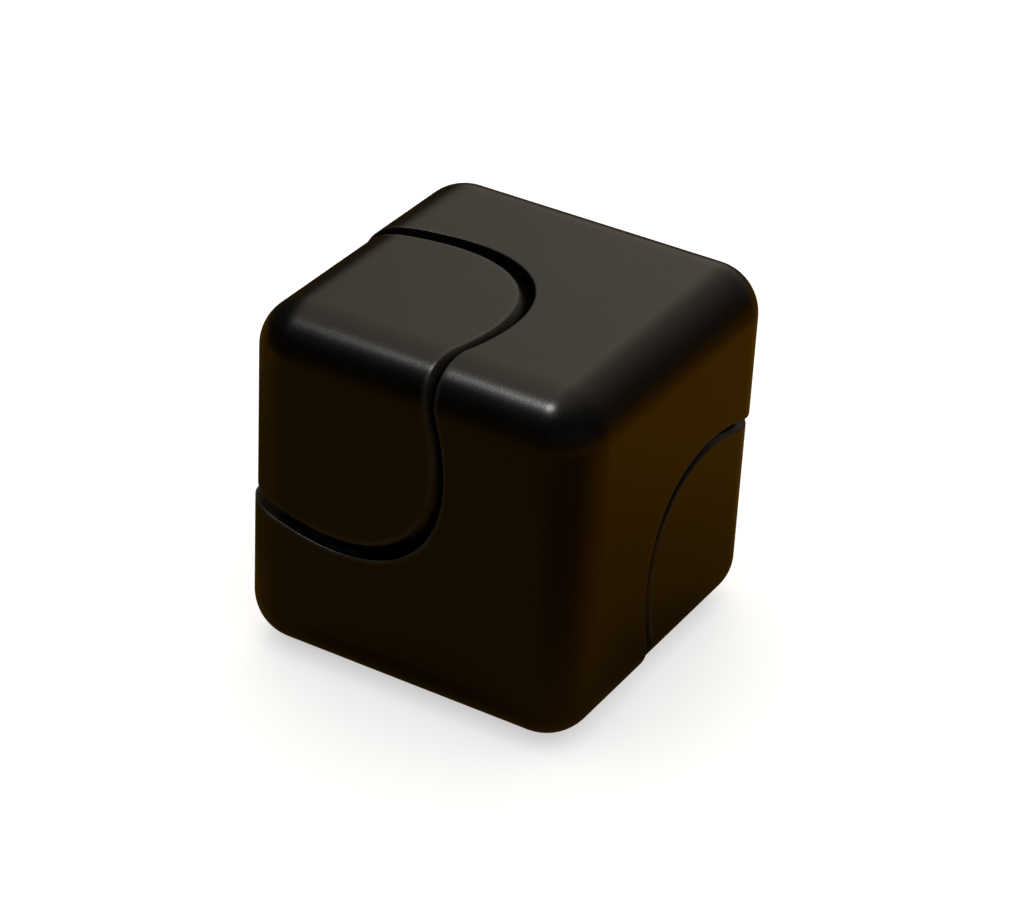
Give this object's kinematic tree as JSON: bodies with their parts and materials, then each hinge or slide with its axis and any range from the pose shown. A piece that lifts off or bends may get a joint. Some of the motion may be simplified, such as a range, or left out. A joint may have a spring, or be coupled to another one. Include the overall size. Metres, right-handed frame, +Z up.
{
  "type": "diagonal spinner cube",
  "caption": "Palm-sized fidget cube of rounded aluminium: two opposite corner caps spin on a ball bearing inside a one-piece band about the cube's body diagonal.",
  "frame": {"origin": "centre of the closed cube's base, on the face it stands on", "axes": "+Z up through the top face; -Y is the front face; the caps' axis runs through the cube's centre along (-1, -1, +1)"},
  "size_m": [0.03, 0.03, 0.03],
  "materials": {
    "band_black": "bead-blasted and black anodised, satin",
    "cap_black": "bead-blasted and black anodised, satin",
    "bearing_steel": "ground bearing steel",
    "ball_steel": "polished chrome steel",
    "cage_steel": "pressed steel, dull",
    "shield_steel": "pressed bright steel",
    "spring_steel": "phosphated spring steel, dark",
    "machined_steel": "turned steel",
    "black_steel": "black oxide",
    "spacer_brass": "turned brass",
    "hub_aluminium": "turned aluminium"
  },
  "bodies": {
    "band": {"spin_body": "band_black", "bearing_outer_ring": "bearing_steel", "upper_shield": "shield_steel", "lower_shield": "shield_steel", "retaining_ring": "spring_steel"},
    "caps": {"bearing_inner_ring": "bearing_steel", "axle_sleeve": "machined_steel", "upper_spacer": "spacer_brass", "lower_spacer": "spacer_brass", "upper_hub": "hub_aluminium", "lower_hub": "hub_aluminium", "clamp_screw": "black_steel", "lock_washer": "spring_steel", "clamp_nut": "machined_steel", "upper_cover": "cap_black", "lower_cover": "cap_black", "upper_cover_pins": "machined_steel", "lower_cover_pins": "machined_steel"},
    "cage": {"bearing_balls": "ball_steel", "cage_upper_half": "cage_steel", "cage_lower_half": "cage_steel", "cage_rivets": "cage_steel"}
  },
  "joints": [
    {"name": "cap_spin", "type": "hinge", "parent": "band", "child": "caps", "pos_m": [0, 0, 0.015], "axis": [-0.5774, -0.5774, 0.5774], "continuous": true},
    {"name": "cage_orbit", "type": "hinge", "parent": "band", "child": "cage", "pos_m": [0, 0, 0.015], "axis": [-0.5774, -0.5774, 0.5774], "continuous": true}
  ],
  "couplings": [
    {"joint": "cage_orbit", "follows": "cap_spin", "ratio": 0.3677}
  ]
}
